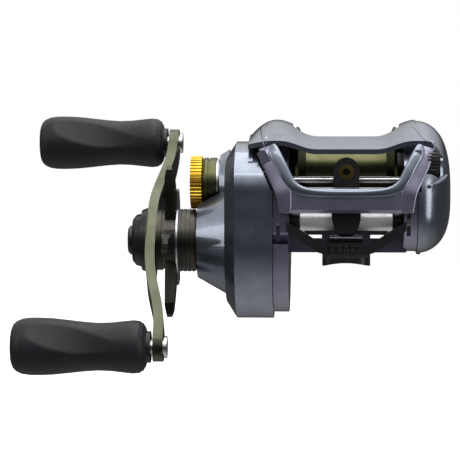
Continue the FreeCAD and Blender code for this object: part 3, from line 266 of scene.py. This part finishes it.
EDGE_WIDTH = {
    "top_cover": 0.5, "palm_side_cover": 0.5, "gear_side_plate": 0.9, "main_frame": 0.5, "reel_foot": 0.3,
    "thumb_bar": 0.3, "handle_arm": 0.45, "star_drag": 0.45, "line_guide": 0.2, "pawl_cap": 0.2,
    "nut_cover": 0.2, "brake_dial": 0.1, "click_plate": 0.1, "cast_control_cap": 0.12,
}


def soften(name, width_mm):
    """Round a CAD part's sharp edges so that they catch the light."""
    piece = frame["nodes"][name]
    bevel = piece.modifiers.new("soft_edges", "BEVEL")
    bevel.width = width_mm * MM
    bevel.segments = 3
    bevel.limit_method = "ANGLE"
    bevel.angle_limit = math.radians(35)
    bevel.use_clamp_overlap = True
    bevel.harden_normals = False
    normals = piece.modifiers.new("even_normals", "WEIGHTED_NORMAL")
    normals.keep_sharp = True


# ---------------------------------------------------------------- mesh helpers

def middle(name):
    """The centre of a CAD node's box."""
    low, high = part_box(name)
    return (Vector(low) + Vector(high)) / 2


def surface_hit(name, start, direction):
    """Where a ray first meets a CAD node, or None."""
    found, place = frame["nodes"][name].ray_cast(Vector(start), Vector(direction))[:2]
    return place if found else None


def ring(mesh, across, centre, radius, around):
    """A loop of points round an axis that runs left to right."""
    return [mesh.verts.new((across, centre.y + radius * math.cos(2 * math.pi * step / around),
                            centre.z + radius * math.sin(2 * math.pi * step / around)))
            for step in range(around)]


def join_loops(mesh, loops):
    """Faces between each loop of points and the next."""
    for first, second in zip(loops, loops[1:]):
        count = len(first)
        for step in range(count):
            after = (step + 1) % count
            mesh.faces.new((first[step], first[after], second[after], second[step]))


def add_piece(name, mesh, look, body, smooth=True):
    """A finished mesh as an object that rides on a body."""
    bmesh.ops.recalc_face_normals(mesh, faces=mesh.faces)
    for face in mesh.faces:
        face.smooth = smooth
    data = bpy.data.meshes.new(name)
    mesh.to_mesh(data)
    mesh.free()
    data.materials.append(look)
    piece = bpy.data.objects.new(name, data)
    bpy.context.scene.collection.objects.link(piece)
    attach(piece, body)
    return piece


# ---------------------------------------------------------------- sculpted grips

def grip_radius(share):
    """Radius of the grip at a share of its length from the outer end, in millimetres."""
    points = ((0.0, 5.6), (0.012, 6.7), (0.035, 7.6), (0.075, 8.3), (0.13, 8.62), (0.2, 8.66), (0.3, 8.5),
              (0.42, 8.0), (0.54, 7.45), (0.64, 7.16), (0.74, 7.3), (0.84, 7.75), (0.9, 8.0), (0.945, 7.85),
              (0.975, 7.2), (0.993, 6.2), (1.0, 5.4))
    for (start, first), (end, second) in zip(points, points[1:]):
        if share <= end:
            blend = (share - start) / (end - start)
            if second < first and share > 0.9:
                blend = blend * blend * (3 - 2 * blend)
            return first + (second - first) * blend
    return points[-1][1]


def flattened(radius, angle, share, leaf_turn):
    """The grip's radius once its two leaf-shaped flats are cut, in millimetres."""
    deepest, rise, leaf_middle, twist = 6.55, 6.2, 0.55, 0.9
    flat = deepest + rise * max(0.0, abs(share - leaf_middle) - 0.05) ** 1.2
    for side in (0.0, math.pi):
        away = math.cos(angle - leaf_turn - side - twist * (share - 0.5))
        if away > 0.2 and radius * away > flat:
            radius = flat / away
    return radius


def build_grip(name, body, leaf_turn):
    """One grip: a waisted form with two long leaf-shaped flats, closed at its outer end."""
    low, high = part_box(name)
    centre = middle(name)
    rings, around = 72, 96
    mesh = bmesh.new()
    outer = [ring(mesh, low[0], centre, radius * MM, around) for radius in (1.2, 2.6, 4.4)]
    side = []
    for step in range(rings + 1):
        share = 0.5 - 0.5 * math.cos(math.pi * step / rings)
        loop = []
        for turn in range(around):
            angle = 2 * math.pi * turn / around
            radius = flattened(grip_radius(share), angle, share, leaf_turn) * MM
            loop.append(mesh.verts.new((low[0] + share * (high[0] - low[0]),
                                        centre.y + radius * math.cos(angle),
                                        centre.z + radius * math.sin(angle))))
        side.append(loop)
    inner = [ring(mesh, high[0] - depth * MM, centre, radius * MM, around)
             for radius, depth in ((4.3, 0.0), (4.1, 1.6))]
    join_loops(mesh, outer + side + inner)
    mesh.faces.new(outer[0])
    mesh.faces.new(inner[1])
    piece = add_piece(name + "_sculpt", mesh, rubber, body)
    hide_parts(name)


# ---------------------------------------------------------------- trims

def smooth_run(points, steps=12):
    """A rounded line through given points, as positions spaced evenly in each span."""
    line = [points[0]] + list(points) + [points[-1]]
    run = []
    for first, second, third, fourth in zip(line, line[1:], line[2:], line[3:]):
        for step in range(steps):
            t = step / steps
            run.append(0.5 * (2 * second + (third - first) * t
                              + (2 * first - 5 * second + 4 * third - fourth) * t ** 2
                              + (3 * second - first - 3 * third + fourth) * t ** 3))
    run.append(points[-1])
    return run


def swept_trim(name, points, widths, height, look, body, sharp=0.7):
    """A moulded lip along a line: an oval section of varying width, and height towards the front."""
    run = smooth_run(points)
    spread = [width.x for width in smooth_run([Vector((width, 0, 0)) for width in widths])]
    around = 20
    mesh = bmesh.new()
    loops = []
    for place, spot in enumerate(run):
        before, after = run[max(place - 1, 0)], run[min(place + 1, len(run) - 1)]
        along = (after - before).normalized()
        across = along.cross(Vector((0, 1, 0))).normalized()
        out = across.cross(along)
        loop = []
        for step in range(around):
            angle = 2 * math.pi * step / around
            wide = math.copysign(abs(math.cos(angle)) ** sharp, math.cos(angle))
            deep = math.copysign(abs(math.sin(angle)) ** sharp, math.sin(angle))
            loop.append(mesh.verts.new(spot + across * wide * spread[place] / 2 + out * deep * height / 2))
        loops.append(loop)
    join_loops(mesh, loops)
    mesh.faces.new(loops[0])
    mesh.faces.new(loops[-1])
    add_piece(name, mesh, look, body)


def make_front_lip():
    """The rounded rim around the line opening: down both horns and along the front bar."""
    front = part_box("main_frame")[0][1]
    half = [(0.0, 20.4, 0.2, 2.4), (8.0, 20.6, 0.2, 2.4), (13.6, 21.4, 0.2, 2.9), (16.9, 23.9, 0.7, 3.2),
            (19.4, 28.6, 1.8, 3.4), (21.8, 32.9, 3.6, 3.6), (23.6, 36.0, 7.0, 2.6)]
    both = [(-across, up, back, width) for across, up, back, width in reversed(half)] + half[1:]
    points = [Vector((across * MM, front + back * MM, up * MM)) for across, up, back, width in both]
    swept_trim("front_lip", points, [width * MM for *place, width in both], 1.6 * MM, body_pearl, "root")


def make_horn(side):
    """The broad face outside the rim, from under the hood down to the end of the front bar."""
    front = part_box("main_frame")[0][1]
    line = [(25.2, 36.0, 7.4, 3.4), (24.2, 33.4, 4.6, 4.4), (22.7, 29.6, 3.0, 5.0), (20.7, 25.2, 1.7, 5.0),
            (19.0, 21.2, 0.5, 4.8), (18.5, 17.6, 0.4, 4.2), (18.4, 14.8, 0.6, 3.6)]
    points = [Vector((side * across * MM, front + back * MM, up * MM)) for across, up, back, width in line]
    swept_trim("horn_left" if side < 0 else "horn_right", points, [width * MM for *place, width in line],
               1.3 * MM, frame_pearl, "root", 0.5)


def make_gusset(side):
    """A thin inner wall beside the spool, behind its flange and under the hood, that closes the see-through
    gap; its black is painted shade for the inside of the reel.
    """
    inner, outer, back, half_thick = 15.95 * MM, 21.9 * MM, 19.6 * MM, 0.6 * MM
    steps, bulge_depth = 8, 0.8 * MM
    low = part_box("spool")[0][2] + 5 * MM
    mesh = bmesh.new()
    columns = []
    for step in range(steps + 1):
        across = side * (inner + (outer - inner) * step / steps)
        hit = surface_hit("top_cover", (across, back, low), (0, 0, 1))
        top = hit.z - 0.25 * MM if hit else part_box("top_cover")[0][2]
        bulge = bulge_depth * math.sin(math.pi * step / steps)
        corners = ((-half_thick, low), (-half_thick, top), (half_thick, top), (half_thick, low))
        columns.append([mesh.verts.new((across, back + bulge + shift, up)) for shift, up in corners])
    join_loops(mesh, columns)
    mesh.faces.new(columns[0])
    mesh.faces.new(columns[-1])
    # Black satin on this wall is painted shade: it stands in for the shade inside the reel.
    add_piece("gusset_left" if side < 0 else "gusset_right", mesh, black_satin, "root",
              smooth=False)


def make_collar(name, low_x, high_x, look):
    """A stepped sleeve on the end of the level-wind tube."""
    low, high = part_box("worm_tube")
    centre = middle("worm_tube")
    radius = (high[2] - low[2]) / 2
    profile = ((low_x, 0.05), (low_x, 0.5), (low_x + 0.3 * MM, 0.7), (high_x - 0.3 * MM, 0.7), (high_x, 0.5),
               (high_x, 0.05))
    mesh = bmesh.new()
    loops = [ring(mesh, across, centre, radius + proud * MM, 64) for across, proud in profile]
    join_loops(mesh, loops + loops[:1])
    add_piece(name, mesh, look, "root")


def make_ridge(name, node, line, width, body):
    """A slim raised line that lies on a CAD node's front, thickest at its middle."""
    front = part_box(node)[0][1] - 5 * MM
    hits = [surface_hit(node, (across * MM, front, up * MM), (0, 1, 0)) for across, up in line]
    points = [hit for hit in hits if hit]
    last = len(points) - 1
    widths = [width * (0.6 + 0.4 * math.sin(math.pi * step / last)) * MM for step in range(last + 1)]
    swept_trim(name, points, widths, 0.55 * width * MM, body_pearl, body)


def make_springs():
    """The yoke springs as a copy with a mesh of its own, shown in place of the CAD node."""
    node = frame["nodes"]["yoke_springs"]
    mesh = bmesh.new()
    mesh.from_mesh(node.data)
    mesh.transform(node.matrix_world)
    coils = add_piece("yoke_springs_coils", mesh, steel, "root", smooth=False)
    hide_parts("yoke_springs")
    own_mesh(coils)


def make_foot_studs():
    """Two rows of small grip studs on the foot's front face."""
    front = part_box("reel_foot")[0][1] - 2 * MM
    mesh = bmesh.new()
    for row, up in enumerate((3.1 * MM, 4.4 * MM)):
        for step in range(8 - row):
            across = (-4.2 + 1.2 * step + 0.6 * row) * MM
            hit = surface_hit("reel_foot", (across, front, up), (0, 1, 0))
            if hit:
                stud = bmesh.ops.create_uvsphere(mesh, u_segments=16, v_segments=10, radius=0.3 * MM)
                bmesh.ops.scale(mesh, vec=(1, 0.6, 1), verts=stud["verts"])
                bmesh.ops.translate(mesh, vec=hit, verts=stud["verts"])
    add_piece("foot_studs", mesh, black_gloss, "root")


for name, width in EDGE_WIDTH.items():
    soften(name, width)
make_front_lip()
for side in (-1, 1):
    make_horn(side)
    make_gusset(side)
make_foot_studs()
make_springs()
make_collar("tube_collar_left", -17.3 * MM, -14.0 * MM, black_gloss)
make_collar("tube_collar_right", 14.0 * MM, 17.3 * MM, black_gloss)
make_ridge("palm_ridge", "palm_side_cover",
           ((22.4, 22.4), (24.6, 22.6), (27.0, 23.4), (29.0, 24.5), (30.4, 25.6)), 1.3, "palm_plate")
make_ridge("hood_crease_right", "top_cover", ((20.2, 40.2), (22.0, 38.4), (23.8, 36.2), (25.2, 34.2)), 0.8,
           "root")
make_ridge("hood_crease_left", "top_cover", ((-24.2, 40.0), (-24.3, 37.6), (-24.2, 35.4), (-24.8, 33.2)), 0.8,
           "root")
build_grip("knob_upper_grip", "knob_upper", math.radians(160))
build_grip("knob_lower_grip", "knob_lower", math.radians(160))


# ---------------------------------------------------------------- floor, light and camera

def make_floor():
    """A white floor below the handle's sweep, bright enough to run into the white surround."""
    hub, grip = middle("drive_shaft"), middle("knob_lower_grip")
    low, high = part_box("knob_lower_grip")
    sweep = math.hypot(grip.y - hub.y, grip.z - hub.z) + (high[2] - low[2]) / 2
    data = bpy.data.meshes.new("studio_floor")
    reach = 0.6
    corners = [(-reach, -reach), (reach, -reach), (reach, reach), (-reach, reach)]
    data.from_pydata([(across, back, hub.z - sweep - 1 * MM) for across, back in corners], [], [(0, 1, 2, 3)])
    floor = bpy.data.objects.new("studio_floor", data)
    bpy.context.scene.collection.objects.link(floor)
    paint = Paint("studio_paper", Roughness=0.7, Emission_Color=(1, 1, 1, 1), Emission_Strength=0.72)
    paint.colour(paint.ramp(paint.noise(3.0, 2.0), ((0.2, (0.46, 0.46, 0.46)), (0.8, (0.50, 0.50, 0.50)))))
    data.materials.append(paint.material)
    floor.visible_glossy = False
    floor.visible_diffuse = False


def area_light(name, place, target, size, power, colour=(1, 1, 1)):
    """A soft rectangular light aimed at a point."""
    lamp = bpy.data.lights.new(name, "AREA")
    lamp.shape = "RECTANGLE"
    lamp.size, lamp.size_y = size
    lamp.energy = power
    lamp.color = colour
    holder = bpy.data.objects.new(name, lamp)
    holder.location = place
    holder.rotation_euler = (Vector(target) - Vector(place)).to_track_quat("-Z", "Y").to_euler()
    bpy.context.scene.collection.objects.link(holder)


def make_world():
    """A pale surround that is darker around the horizon, so that metal has something to reflect."""
    world = bpy.data.worlds.new("studio")
    world.use_nodes = True
    tree = world.node_tree
    sky = tree.nodes["Background"]
    coords = tree.nodes.new("ShaderNodeTexCoord")
    split = tree.nodes.new("ShaderNodeSeparateXYZ")
    tree.links.new(coords.outputs["Generated"], split.inputs["Vector"])
    ramp = tree.nodes.new("ShaderNodeValToRGB")
    stops = ((0.0, 0.85), (0.14, 0.40), (0.32, 0.09), (0.57, 0.045), (0.68, 0.70), (0.84, 1.5), (1.0, 0.80))
    while len(ramp.color_ramp.elements) < len(stops):
        ramp.color_ramp.elements.new(0.5)
    for element, (place, tone) in zip(ramp.color_ramp.elements, stops):
        element.position = place
        element.color = (tone, tone, tone * 1.02, 1.0)
    height = tree.nodes.new("ShaderNodeMapRange")
    height.inputs["From Min"].default_value = -1.0
    tree.links.new(split.outputs["Z"], height.inputs["Value"])
    tree.links.new(height.outputs["Result"], ramp.inputs["Fac"])
    tree.links.new(ramp.outputs["Color"], sky.inputs["Color"])
    sky.inputs["Strength"].default_value = 0.8
    white = tree.nodes.new("ShaderNodeBackground")
    white.inputs["Color"].default_value = (1, 1, 1, 1)
    white.inputs["Strength"].default_value = 1.0
    seen = tree.nodes.new("ShaderNodeLightPath")
    choose = tree.nodes.new("ShaderNodeMixShader")
    tree.links.new(seen.outputs["Is Camera Ray"], choose.inputs["Fac"])
    tree.links.new(sky.outputs["Background"], choose.inputs[1])
    tree.links.new(white.outputs["Background"], choose.inputs[2])
    tree.links.new(choose.outputs["Shader"], tree.nodes["World Output"].inputs["Surface"])
    bpy.context.scene.world = world


def make_camera():
    """A long lens from the front, a little above, aimed left of the reel's body."""
    distance, rise = 0.67, math.radians(3.5)
    aim = Vector((-0.0362, 0.0, 0.0079))
    camera = bpy.data.objects.new("camera", bpy.data.cameras.new("camera"))
    camera.data.lens = 167.8
    camera.data.sensor_width = 36.0
    place = Vector((-0.0034, -distance * math.cos(rise), aim.z + distance * math.sin(rise)))
    camera.location = place
    camera.rotation_euler = (aim - place).to_track_quat("-Z", "Y").to_euler()
    bpy.context.scene.collection.objects.link(camera)
    bpy.context.scene.camera = camera


make_floor()
make_world()
area_light("overhead", (0.05, 0.0, 0.60), (0, 0, 0.02), (0.8, 0.5), 3.6)
area_light("top_front", (-0.05, -0.55, 0.62), (0, 0, 0.02), (0.7, 0.14), 1.2)
area_light("left_strip", (-0.75, -0.35, 0.22), (-0.03, 0, 0.01), (0.14, 0.7), 1.1)
area_light("right_strip", (0.62, -0.40, 0.05), (0.02, 0, 0.01), (0.30, 0.6), 1.9)
make_camera()
bpy.context.scene.view_settings.view_transform = "Standard"
